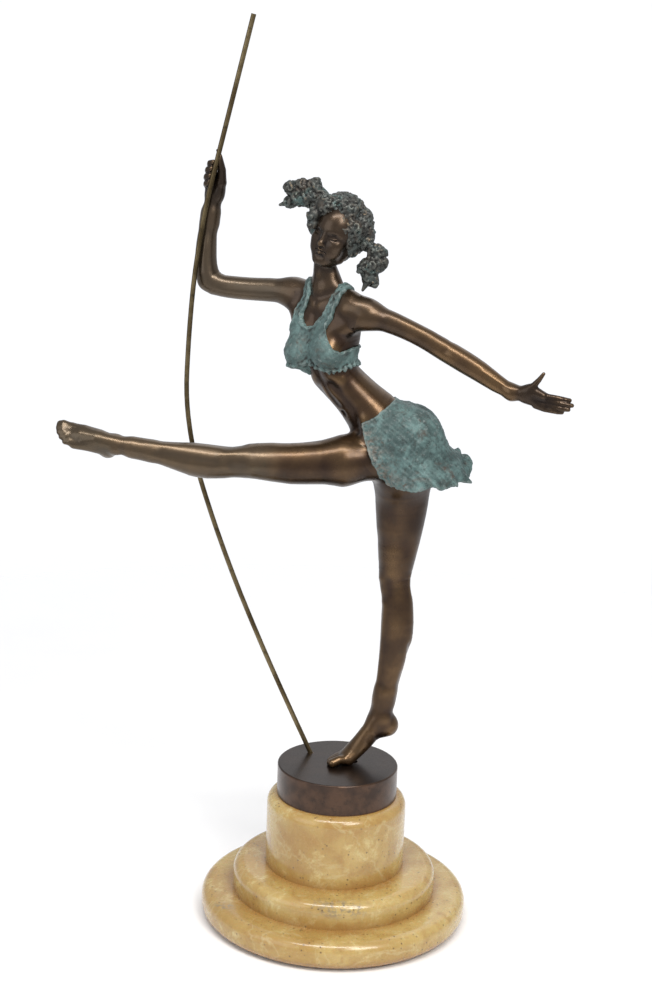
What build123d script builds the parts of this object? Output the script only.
"""Bronze dancer with a bowed rod, on a turned stone base. Millimetres, +Z up.

The origin is the centre of the base's underside. The dancer faces -X, stands on the
right leg and lifts the left one. The figure's left side is towards -Y.
"""
import os
from math import cos, pi, radians, sin

from build123d import *

# ---- Stone base: three turned tiers over a felt pad ----
FELT_THICKNESS = 1.0
FELT_RADIUS = 63.0
TIER_RADII = (70.0, 53.5, 36.5)
TIER_TOPS = (15.5, 29.5, 68.0)
TIER_EDGE = 5.5
STONE_BORE = 10.0
RECESS_DIAMETER = 36.0
RECESS_DEPTH = 14.0

# ---- Bronze plinth and its fixing ----
PLINTH_RADIUS = 31.5
PLINTH_TOP = 84.5
PLINTH_WALL = 4.0
PLINTH_EDGE = 0.8
BOSS_RADIUS = 8.0
STUD_RADIUS = 4.0
STUD_INTO_BOSS = 9.0
STUD_CHAMFER = 0.8
WASHER_RADIUS = 12.0
WASHER_THICKNESS = 2.0
NUT_ACROSS_FLATS = 13.0
NUT_HEIGHT = 6.5
STUD_BELOW_NUT = 2.0

# ---- Joints between castings ----
SPIGOT_RADIUS = 2.4
SPIGOT_LENGTH = 7.0
SOCKET_PLAY = 0.05
FOOT_TENON_RADIUS = 2.5
FOOT_TENON_LENGTH = 5.0

# ---- Rod ----
ROD_RADIUS = 1.25
ROD_SOCKET_DEPTH = 6.0
ROD_FOOT = (-14.3, 12.8, PLINTH_TOP)
ROD_LEAN = 1.2          # degrees that the rod's plane leans back
ROD_RUN_SHARE = 0.45    # part of the shorter run that each bend takes up
# Across and up from the rod's foot, in the rod's own plane
ROD_BENDS = (
    (2.6, -ROD_SOCKET_DEPTH), (-11.0, 22.5), (-26.0, 55.0), (-41.5, 91.0), (-54.0, 124.0),
    (-64.5, 156.0), (-69.8, 188.0), (-68.6, 222.0), (-66.6, 250.0), (-61.6, 285.0),
)
ROD_TIP = (-39.7, 379.0)
ROD_JOIN_SHARE = 0.32   # how far up the straight top run the two lengths are brazed

# ---- Dress ----
CLOTH = 1.3             # thickness of the modelled cloth
RIM_OVERRUN = 3.0       # how far the skirt's hollow is cut past its rims
CLOTH_GAP = 0.4         # clearance where the raised thigh comes out of the skirt
BAND_BOTTOM = 294.0
BAND_TOP = 310.0
STRAP_WIDTH = 5.0
STRAP_REACH = 40.0      # past the chest's front and back

SECTION_POINTS = 8      # points round one cross section
STEPS_BETWEEN = 2       # lofted spans between one station and the next

# ---- Where the castings meet: centre, half size across, other half size, and direction ----
HIP_STANDING = (28.0, 8.0, 243.0, 13.8, 14.2)
HIP_STANDING_WAY = (0.0, 0.0, -1.0)
HIP_RAISED = (6.0, -10.0, 250.2, 11.0, 15.0)
HIP_RAISED_WAY = (-0.75, -0.1, -0.66)
SHOULDER_RAISED = (-28.0, 13.5, 329.5, 6.3, 6.6)
SHOULDER_RAISED_WAY = (-0.97, 0.25, 0.03)
SHOULDER_OPEN = (3.5, -14.0, 325.0, 6.3, 6.6)
SHOULDER_OPEN_WAY = (0.92, -0.2, -0.34)
NECK_JOINT = (-15.6, -2.2, 343.0, 6.2, 6.2)
NECK_WAY = (-0.05, -0.15, 1.0)
WRIST_RAISED = (-73.0, 25.0, 369.0, 3.6, 4.2)
WRIST_WAY = (0.05, 0.0, 1.0)

# How the trunk runs out to each joint
ROOT_STANDING = ((24.0, 4.0, 258.0, 13.0, 13.0), (27.0, 7.0, 250.0, 13.6, 13.8), HIP_STANDING)
ROOT_RAISED = ((26.0, -6.0, 258.0, 10.0, 11.0), (19.0, -8.4, 254.0, 11.0, 12.0), HIP_RAISED)
ROOT_RIGHT_ARM = ((-17.0, 4.0, 323.0, 6.0, 7.0), (-22.0, 10.0, 327.5, 6.6, 7.6), SHOULDER_RAISED)
ROOT_LEFT_ARM = ((-8.0, -6.0, 324.0, 6.0, 7.0), (-3.0, -11.5, 326.5, 6.6, 7.6), SHOULDER_OPEN)
ROOT_NECK = ((-13.8, -0.4, 328.0, 7.6, 6.6), (-14.8, -1.2, 336.0, 6.4, 6.4), NECK_JOINT)
ROOTS = (
    (ROOT_STANDING, HIP_STANDING_WAY), (ROOT_RAISED, HIP_RAISED_WAY),
    (ROOT_RIGHT_ARM, SHOULDER_RAISED_WAY), (ROOT_LEFT_ARM, SHOULDER_OPEN_WAY), (ROOT_NECK, NECK_WAY),
)

# ---- Standing leg: x, y, z, half size along Y, half size front to back ----
STANDING_LEG = (
    HIP_STANDING,
    (28.0, 8.0, 227.0, 13.0, 13.6),
    (27.6, 7.6, 212.0, 11.5, 11.8),
    (26.6, 7.0, 197.0, 9.8, 9.8),
    (26.2, 6.5, 185.0, 8.0, 7.9),
    (27.0, 6.0, 179.0, 7.6, 7.3),
    (27.9, 5.6, 163.0, 8.1, 8.3),
    (27.3, 5.3, 149.0, 7.5, 7.8),
    (25.0, 5.0, 133.0, 6.2, 6.3),
    (22.8, 4.8, 119.0, 5.2, 5.6),
    (21.0, 4.8, 108.0, 4.8, 7.5),
)
# Foot on tiptoe, heel to toes
STANDING_FOOT = (
    (28.6, 7.0, 104.6, 3.0, 3.2),
    (24.0, 6.2, 102.6, 4.9, 6.4),
    (17.5, 5.0, 97.6, 5.6, 7.0),
    (11.0, 3.4, 91.6, 7.0, 5.6),
    (5.0, 1.2, 88.4, 7.6, 4.2),
    (-1.0, -1.4, 86.9, 6.4, 2.9),
    (-5.0, -3.2, 86.3, 4.4, 1.9),
)
FOOT_TENON_AT = (8.0, 2.4, PLINTH_TOP)
# ---- Raised leg: half size along Y, half size up and down ----
RAISED_LEG = (
    HIP_RAISED,
    (-8.5, -11.5, 249.3, 11.0, 11.4),
    (-28.0, -13.5, 248.1, 10.2, 10.4),
    (-47.0, -15.2, 248.9, 8.8, 8.6),
    (-58.0, -16.0, 248.4, 7.9, 7.5),
    (-69.0, -16.6, 248.5, 8.2, 8.4),
    (-79.0, -17.1, 249.7, 7.8, 8.1),
    (-89.0, -17.6, 251.5, 6.7, 6.8),
    (-98.0, -18.1, 253.1, 5.8, 5.9),
    (-108.0, -18.7, 254.8, 5.0, 5.4),
    (-116.0, -19.2, 255.4, 5.2, 7.0),
    (-123.0, -19.7, 256.6, 5.2, 7.5),
    (-130.0, -20.2, 258.8, 4.6, 6.7),
    (-137.0, -20.8, 260.1, 4.0, 6.2),
    (-143.0, -21.4, 262.0, 2.6, 4.8),
)
# ---- Raised arm: half size along Y, the other half size ----
RAISED_ARM = (
    SHOULDER_RAISED,
    (-36.0, 15.5, 329.9, 5.9, 6.1),
    (-47.0, 18.2, 329.6, 5.5, 5.6),
    (-58.0, 20.8, 329.6, 5.4, 5.5),
    (-67.0, 22.6, 330.4, 5.4, 5.5),
    (-73.2, 23.6, 333.2, 5.5, 6.3),
    (-75.2, 24.1, 340.0, 5.3, 5.6),
    (-75.4, 24.4, 349.0, 5.1, 5.3),
    (-74.6, 24.7, 359.0, 4.4, 4.6),
    WRIST_RAISED,
)
HAND = (
    WRIST_RAISED,
    (-72.4, 25.0, 375.0, 3.4, 6.0),
    (-71.8, 24.8, 382.0, 4.4, 6.4),
    (-71.8, 24.0, 388.0, 4.8, 5.6),
    (-71.6, 23.0, 393.0, 3.6, 3.4),
)
# ---- Open arm with its hand: half size along Y, half size up and down ----
OPEN_ARM = (
    SHOULDER_OPEN,
    (11.0, -15.0, 322.6, 5.6, 5.9),
    (19.0, -16.4, 320.1, 5.1, 5.3),
    (31.0, -18.8, 315.3, 4.7, 4.9),
    (43.0, -21.6, 309.4, 5.0, 5.3),
    (53.0, -24.8, 304.3, 5.1, 5.4),
    (62.0, -28.2, 299.5, 4.7, 5.0),
    (71.0, -32.0, 294.2, 3.8, 4.2),
    (78.5, -35.4, 290.9, 3.1, 3.7),
    (84.5, -38.0, 290.2, 2.9, 5.0),
    (91.5, -40.2, 290.2, 2.5, 5.3),
    (98.5, -41.6, 288.9, 1.9, 4.2),
    (104.5, -42.4, 287.6, 1.2, 3.0),
)
OPEN_THUMB = (
    (84.0, -38.5, 292.0, 1.7, 1.7),
    (86.8, -40.2, 296.5, 1.6, 1.6),
    (89.0, -41.0, 302.0, 1.1, 1.1),
)

# ---- Torso: centre, half width, half depth, and which way the front turns ----
# The front turns from -X at the hips (0 degrees) towards -Y at the chest.
TORSO = (
    (26.0, 0.5, 243.0, 15.0, 13.5, 5.0),
    (20.5, 0.0, 258.0, 17.3, 17.6, 8.0),
    (12.5, 0.0, 270.8, 16.0, 15.8, 15.0),
    (3.6, -0.3, 279.0, 13.5, 11.9, 28.0),
    (-6.8, -0.5, 289.5, 12.4, 10.8, 38.0),
    (-11.0, -0.6, 299.0, 15.4, 10.8, 46.0),
    (-13.4, -0.6, 309.0, 18.2, 11.4, 50.0),
    (-14.0, -0.4, 320.0, 18.4, 10.0, 50.0),
    (-14.2, -0.4, 328.0, 14.0, 7.4, 50.0),
    (-14.6, -0.8, 334.0, 8.0, 5.6, 50.0),
)
CHEST_TURN = 50.0
CUP_RADIUS = 8.6
CUP_SPREAD = 9.2        # each cup's distance from the middle of the chest
CUP_FORWARD = 10.0
CHEST_MIDDLE = (-12.8, -0.6, 304.5)
# Each strap, seen from the front of the chest: across and up, bottom then top
STRAPS = (((5.5, 3.0), (9.5, 28.0)), ((-5.5, 3.0), (-9.5, 28.0)))

# ---- Head: its axis leans to the figure's left; half width, half depth at each height ----
HEAD_BASE = (-15.8, -5.4, 347.0)
HEAD_LEAN = (0.30, -0.08, 0.95)
HEAD_TURN = 57.0
HEAD_LEVELS = (
    (0.0, 3.6, 4.6), (4.0, 6.8, 8.4), (10.0, 9.4, 11.6), (17.0, 10.6, 13.0),
    (23.0, 10.2, 12.4), (28.0, 7.8, 9.4), (31.5, 3.6, 4.4),
)
HEAD_BACK = 2.5         # the skull's middle stands this far behind the chin's
HAIR_THICKNESS = 3.2
HAIR_LINE = 3.0         # how far in front of the skull's middle the hair starts
HAIR_LEVEL = 16.0       # height over the chin at which that is measured
HAIR_SLOPE = -0.55      # how the hair line drops towards the nape
NECK_TOP = (NECK_JOINT, (-15.6, -2.6, 349.0, 5.8, 5.8), (-13.5, -1.8, 356.0, 6.0, 6.0))
BUNCH_UPPER = (
    (-19.5, 3.6, 374.5, 4.0, 4.4),
    (-24.5, 5.2, 378.6, 6.6, 6.8),
    (-30.5, 6.8, 379.4, 7.6, 7.8),
    (-36.0, 8.0, 378.4, 5.6, 6.0),
    (-39.5, 8.8, 377.6, 2.4, 3.0),
)
BUNCH_LOWER = (
    (0.5, -7.2, 360.5, 4.0, 4.6),
    (7.0, -10.4, 353.6, 6.2, 6.6),
    (7.2, -11.2, 347.4, 6.6, 6.8),
    (5.4, -11.8, 341.4, 4.2, 4.6),
    (3.6, -12.0, 337.6, 1.6, 1.8),
)

# ---- Skirt: centre, half size along Y, half size front to back ----
SKIRT = (
    (11.4, -0.4, 272.4, 18.2, 19.2),
    (18.0, -0.2, 263.0, 20.8, 20.6),
    (26.0, 0.6, 254.0, 25.0, 21.6),
    (34.2, 1.4, 244.4, 28.6, 22.6),
    (38.8, 1.6, 239.0, 29.6, 23.2),
)
SKIRT_TOP_WAY = (0.52, 0.0, -0.85)
SKIRT_HEM_WAY = (0.10, 0.0, -1.0)
# The wrap's open front edge, seen from the side, from the waist down
SKIRT_FRONT = ((4.8, 300.0), (4.8, 267.5), (7.1, 257.8), (11.9, 251.8), (20.4, 240.7), (20.4, 220.0))
FRONT_CUT_X = -40.0


def outline(centre, normal, across, half_across, half_other):
    """A smooth closed cross section, drawn on the plane through its centre."""
    turns = [2 * pi * step / SECTION_POINTS for step in range(SECTION_POINTS)]
    points = [(half_across * cos(turn), half_other * sin(turn)) for turn in turns]
    with BuildSketch(Plane(origin=centre, x_dir=across, z_dir=normal)) as drawn:
        with BuildLine():
            Spline(points, periodic=True)
        make_face()
    return drawn.sketch


def directions(stations, first=None, last=None):
    """The direction of travel at each station, from its neighbours."""
    centres = [Vector(station[:3]) for station in stations]
    runs = [(after - before).normalized() for before, after in zip(centres, centres[1:])]
    found = [(before + after).normalized() for before, after in zip(runs[:1] + runs, runs + runs[-1:])]
    if first is not None:
        found[0] = Vector(first)
    if last is not None:
        found[-1] = Vector(last)
    return found


def eased(stations):
    """The stations with smooth in-between ones added, by Catmull-Rom curves through them."""
    ends = (stations[0], *stations, stations[-1])
    found = []
    for one, two, three, four in zip(ends, ends[1:], ends[2:], ends[3:]):
        for step in range(STEPS_BETWEEN):
            t = step / STEPS_BETWEEN
            found.append(tuple(
                0.5 * (2 * b + (c - a) * t + (2 * a - 5 * b + 4 * c - d) * t ** 2
                       + (3 * b - 3 * c + d - a) * t ** 3)
                for a, b, c, d in zip(one, two, three, four)
            ))
    return found + [tuple(stations[-1])]


def slices(stations, first=None, last=None):
    """Smoothly spaced cross sections of a limb."""
    return rings(eased(stations), first, last)


def rings(stations, first=None, last=None, growth=0.0):
    """Cross sections at the stations: x, y, z, half size along Y, other half size."""
    return [
        outline(station[:3], way, (0, 1, 0), station[3] + growth, station[4] + growth)
        for station, way in zip(stations, directions(stations, first, last))
    ]


def spigot_plane(station, way):
    """The plane at a casting joint, looking the way that its spigot goes in."""
    return Plane(origin=station[:3], z_dir=-Vector(way))


def turned(turn):
    """The across direction of a section whose front turns from -X towards -Y."""
    return (sin(radians(turn)), -cos(radians(turn)), 0.0)


def torso_sections(growth=0.0):
    """The trunk's cross sections, each grown outwards by the same amount."""
    stations = eased(TORSO)
    return [
        outline(station[:3], way, turned(station[5]), station[3] + growth, station[4] + growth)
        for station, way in zip(stations, directions(stations))
    ]


def head_sections(growth=0.0):
    """The head's cross sections from chin to crown, each grown by the same amount."""
    base = Vector(HEAD_BASE)
    lean = Vector(HEAD_LEAN).normalized()
    across = Vector(turned(HEAD_TURN))
    front = Vector(-cos(radians(HEAD_TURN)), -sin(radians(HEAD_TURN)), 0.0)
    tallest = HEAD_LEVELS[-1][0]
    found = []
    for level, half_width, half_depth in eased(HEAD_LEVELS):
        stretch = growth * (2 * level / tallest - 1)
        centre = base + lean * (level + stretch) - front * HEAD_BACK * min(level / 10.0, 1.0)
        found.append(outline(centre, lean, across, half_width + growth, half_depth + growth))
    return found


def lengthened(stations, first, last):
    """The same stations with one more beyond each end."""
    before = Vector(stations[0][:3]) - Vector(first).normalized() * RIM_OVERRUN
    after = Vector(stations[-1][:3]) + Vector(last).normalized() * RIM_OVERRUN
    return ((*before, *stations[0][3:]), *stations, (*after, *stations[-1][3:]))


def save(builder, label):
    """Label one finished piece and write it to its own file."""
    builder.part.label = label
    export_step(builder.part, f"parts/{label}.step")


def rod_plane():
    """The rod's own plane: x across, y up, leaning back a little."""
    lean = radians(ROD_LEAN)
    return Plane(origin=ROD_FOOT, x_dir=(1, 0, 0), z_dir=(0, -cos(lean), sin(lean)))


def bend_radii(points):
    """The largest arc at each corner that its two runs allow."""
    corners = [Vector(point) for point in points]
    radii = []
    for before, corner, after in zip(corners, corners[1:], corners[2:]):
        run_in = corner - before
        run_out = after - corner
        half_turn = radians(run_in.get_angle(run_out)) / 2
        shorter = min(run_in.length, run_out.length)
        radii.append(ROD_RUN_SHARE * shorter * cos(half_turn) / sin(half_turn))
    return radii


os.makedirs("parts", exist_ok=True)

# ======== Base ========
with BuildPart() as felt_pad:
    Cylinder(FELT_RADIUS, FELT_THICKNESS, align=(Align.CENTER, Align.CENTER, Align.MIN))

with BuildPart() as stone_base:
    floor = FELT_THICKNESS
    for radius, top in zip(TIER_RADII, TIER_TOPS):
        with Locations((0, 0, floor)):
            Cylinder(radius, top - floor, align=(Align.CENTER, Align.CENTER, Align.MIN))
        floor = top
    rims = stone_base.edges().filter_by(GeomType.CIRCLE)
    fillet([rim for rim in rims if rim.center().Z > FELT_THICKNESS and rim.is_interior is False
            or rim.center().Z == FELT_THICKNESS and rim.radius > FELT_RADIUS], TIER_EDGE)
    with Locations((0, 0, TIER_TOPS[-1])):
        Hole(STONE_BORE / 2)
    with Locations(Location((0, 0, FELT_THICKNESS), (180, 0, 0))):
        Hole(RECESS_DIAMETER / 2, RECESS_DEPTH)

STUD_TOP = TIER_TOPS[-1] + STUD_INTO_BOSS
RECESS_ROOF = FELT_THICKNESS + RECESS_DEPTH
NUT_TOP = RECESS_ROOF - WASHER_THICKNESS
STUD_BOTTOM = NUT_TOP - NUT_HEIGHT - STUD_BELOW_NUT

with BuildPart() as fixing_stud:
    with Locations((0, 0, STUD_BOTTOM)):
        Cylinder(STUD_RADIUS, STUD_TOP - STUD_BOTTOM, align=(Align.CENTER, Align.CENTER, Align.MIN))
    chamfer(fixing_stud.edges().group_by(Axis.Z)[0], STUD_CHAMFER)

with BuildPart() as fixing_washer:
    with BuildSketch(Plane.XY.offset(NUT_TOP)):
        Circle(WASHER_RADIUS)
        Circle(STUD_RADIUS, mode=Mode.SUBTRACT)
    extrude(amount=WASHER_THICKNESS)

with BuildPart() as fixing_nut:
    with BuildSketch(Plane.XY.offset(NUT_TOP - NUT_HEIGHT)):
        RegularPolygon(NUT_ACROSS_FLATS / 2, 6, major_radius=False)
        Circle(STUD_RADIUS, mode=Mode.SUBTRACT)
    extrude(amount=NUT_HEIGHT)

# ======== Rod ========
ROD_JOIN = Vector(ROD_BENDS[-1]) * (1 - ROD_JOIN_SHARE) + Vector(ROD_TIP) * ROD_JOIN_SHARE
ROD_BOW = (*ROD_BENDS, ROD_JOIN)

with BuildLine() as bow:
    FilletPolyline(*ROD_BOW, radius=bend_radii(ROD_BOW))
bow_path = rod_plane() * bow.line

with BuildPart() as rod_lower:
    with BuildSketch(Plane(origin=bow_path @ 0, z_dir=bow_path % 0)):
        Circle(ROD_RADIUS)
    sweep(path=bow_path)

with BuildLine() as top_run:
    Line(ROD_JOIN, ROD_TIP)
top_path = rod_plane() * top_run.line

with BuildPart() as rod_upper:
    with BuildSketch(Plane(origin=top_path @ 0, z_dir=top_path % 0)):
        Circle(ROD_RADIUS)
    sweep(path=top_path)

with BuildPart() as bronze_plinth:
    with Locations((0, 0, TIER_TOPS[-1])):
        Cylinder(PLINTH_RADIUS, PLINTH_TOP - TIER_TOPS[-1],
                 align=(Align.CENTER, Align.CENTER, Align.MIN))
    fillet(bronze_plinth.edges().group_by(Axis.Z)[-1], PLINTH_EDGE)
    with BuildSketch(Plane.XY.offset(TIER_TOPS[-1])):
        Circle(PLINTH_RADIUS - PLINTH_WALL)
        Circle(BOSS_RADIUS, mode=Mode.SUBTRACT)
    extrude(amount=PLINTH_TOP - TIER_TOPS[-1] - PLINTH_WALL, mode=Mode.SUBTRACT)
    with Locations(Location((0, 0, TIER_TOPS[-1]), (180, 0, 0))):
        Hole(STUD_RADIUS, STUD_INTO_BOSS)
    with BuildSketch(Plane(origin=FOOT_TENON_AT, z_dir=(0, 0, -1))):
        Circle(FOOT_TENON_RADIUS + SOCKET_PLAY)
    extrude(amount=FOOT_TENON_LENGTH, mode=Mode.SUBTRACT)
    add(rod_lower.part, mode=Mode.SUBTRACT)

# ======== Trunk ========
with BuildPart() as torso:
    loft(sections=torso_sections(), ruled=True)
    for root, way in ROOTS:
        loft(sections=slices(root, last=way), ruled=True)
    for root, way in ROOTS:
        with BuildSketch(spigot_plane(root[-1], way)):
            Circle(SPIGOT_RADIUS + SOCKET_PLAY)
        extrude(amount=SPIGOT_LENGTH + SOCKET_PLAY, mode=Mode.SUBTRACT)

# ======== Limbs ========
with BuildPart() as supporting_leg:
    loft(sections=slices(STANDING_LEG, first=HIP_STANDING_WAY), ruled=True)
    loft(sections=slices(STANDING_FOOT), ruled=True)
    split(bisect_by=Plane.XY.offset(PLINTH_TOP), keep=Keep.TOP)
    add(torso.part, mode=Mode.SUBTRACT)
    with BuildSketch(spigot_plane(HIP_STANDING, HIP_STANDING_WAY)):
        Circle(SPIGOT_RADIUS)
    extrude(amount=SPIGOT_LENGTH)
    with BuildSketch(Plane(origin=FOOT_TENON_AT, z_dir=(0, 0, -1))):
        Circle(FOOT_TENON_RADIUS)
    extrude(amount=FOOT_TENON_LENGTH)

with BuildPart() as raised_leg:
    loft(sections=slices(RAISED_LEG, first=HIP_RAISED_WAY), ruled=True)
    add(torso.part, mode=Mode.SUBTRACT)
    with BuildSketch(spigot_plane(HIP_RAISED, HIP_RAISED_WAY)):
        Circle(SPIGOT_RADIUS)
    extrude(amount=SPIGOT_LENGTH)

with BuildPart() as raised_arm:
    loft(sections=slices(RAISED_ARM, first=SHOULDER_RAISED_WAY, last=WRIST_WAY), ruled=True)
    add(torso.part, mode=Mode.SUBTRACT)
    with BuildSketch(spigot_plane(SHOULDER_RAISED, SHOULDER_RAISED_WAY)):
        Circle(SPIGOT_RADIUS)
    extrude(amount=SPIGOT_LENGTH)

with BuildPart() as open_arm:
    loft(sections=slices(OPEN_ARM, first=SHOULDER_OPEN_WAY), ruled=True)
    loft(sections=slices(OPEN_THUMB), ruled=True)
    add(torso.part, mode=Mode.SUBTRACT)
    with BuildSketch(spigot_plane(SHOULDER_OPEN, SHOULDER_OPEN_WAY)):
        Circle(SPIGOT_RADIUS)
    extrude(amount=SPIGOT_LENGTH)

with BuildPart() as gripping_hand:
    loft(sections=slices(HAND, first=WRIST_WAY), ruled=True)
    add(rod_lower.part, mode=Mode.SUBTRACT)

# ======== Head and hair ========
with BuildPart() as head:
    loft(sections=head_sections(), ruled=True)
    loft(sections=slices(NECK_TOP, first=NECK_WAY), ruled=True)
    with BuildSketch(spigot_plane(NECK_JOINT, NECK_WAY)):
        Circle(SPIGOT_RADIUS)
    extrude(amount=SPIGOT_LENGTH)

with BuildPart() as hair_cap:
    loft(sections=head_sections(HAIR_THICKNESS), ruled=True)
    front = Vector(-cos(radians(HEAD_TURN)), -sin(radians(HEAD_TURN)), HAIR_SLOPE).normalized()
    middle = Vector(HEAD_BASE) + Vector(HEAD_LEAN).normalized() * HAIR_LEVEL
    split(bisect_by=Plane(origin=middle + front * HAIR_LINE, z_dir=front), keep=Keep.BOTTOM)
    add(head.part, mode=Mode.SUBTRACT)
    add(torso.part, mode=Mode.SUBTRACT)

with BuildPart() as hair_bunch_upper:
    loft(sections=slices(BUNCH_UPPER), ruled=True)
    add(hair_cap.part, mode=Mode.SUBTRACT)
    add(head.part, mode=Mode.SUBTRACT)

with BuildPart() as hair_bunch_lower:
    loft(sections=slices(BUNCH_LOWER), ruled=True)
    add(hair_cap.part, mode=Mode.SUBTRACT)
    add(head.part, mode=Mode.SUBTRACT)

# ======== Dress ========
CHEST_FRONT = Vector(-cos(radians(CHEST_TURN)), -sin(radians(CHEST_TURN)), 0)
CHEST_ACROSS = Vector(turned(CHEST_TURN))

with BuildPart() as straps:
    loft(sections=torso_sections(CLOTH), ruled=True)
    with BuildSketch(Plane(origin=CHEST_MIDDLE, x_dir=CHEST_ACROSS, z_dir=CHEST_FRONT)):
        for bottom, top in STRAPS:
            half = STRAP_WIDTH / 2
            with BuildLine():
                Polyline((bottom[0] - half, bottom[1]), (bottom[0] + half, bottom[1]),
                         (top[0] + half, top[1]), (top[0] - half, top[1]), close=True)
            make_face()
    extrude(amount=STRAP_REACH, both=True, mode=Mode.INTERSECT)

with BuildPart() as bodice:
    loft(sections=torso_sections(CLOTH), ruled=True)
    for side in (-1, 1):
        with Locations(Vector(CHEST_MIDDLE) + CHEST_FRONT * CUP_FORWARD
                       + CHEST_ACROSS * CUP_SPREAD * side):
            Sphere(CUP_RADIUS)
    split(bisect_by=Plane.XY.offset(BAND_BOTTOM), keep=Keep.TOP)
    split(bisect_by=Plane.XY.offset(BAND_TOP), keep=Keep.BOTTOM)
    add(straps.part)
    add(torso.part, mode=Mode.SUBTRACT)

with BuildPart() as skirt:
    loft(sections=rings(SKIRT, SKIRT_TOP_WAY, SKIRT_HEM_WAY), ruled=True)
    inside = lengthened(SKIRT, SKIRT_TOP_WAY, SKIRT_HEM_WAY)
    loft(sections=rings(inside, SKIRT_TOP_WAY, SKIRT_HEM_WAY, growth=-CLOTH), ruled=True,
         mode=Mode.SUBTRACT)
    thigh = rings(ROOT_RAISED + RAISED_LEG[1:3], growth=CLOTH_GAP)
    loft(sections=thigh, ruled=True, mode=Mode.SUBTRACT)
    with BuildSketch(Plane.XZ):
        with BuildLine():
            Polyline(*SKIRT_FRONT, (FRONT_CUT_X, SKIRT_FRONT[-1][1]), (FRONT_CUT_X, SKIRT_FRONT[0][1]),
                     close=True)
        make_face()
    extrude(amount=SKIRT[-1][3] + RIM_OVERRUN, both=True, mode=Mode.SUBTRACT)

PIECES = {
    "felt_pad": felt_pad, "stone_base": stone_base, "bronze_plinth": bronze_plinth,
    "fixing_stud": fixing_stud, "fixing_washer": fixing_washer, "fixing_nut": fixing_nut,
    "rod_lower": rod_lower, "rod_upper": rod_upper, "torso": torso,
    "supporting_leg": supporting_leg, "raised_leg": raised_leg, "raised_arm": raised_arm,
    "open_arm": open_arm, "gripping_hand": gripping_hand, "head": head, "hair_cap": hair_cap,
    "hair_bunch_upper": hair_bunch_upper, "hair_bunch_lower": hair_bunch_lower,
    "bodice": bodice, "skirt": skirt,
}
for label, builder in PIECES.items():
    save(builder, label)
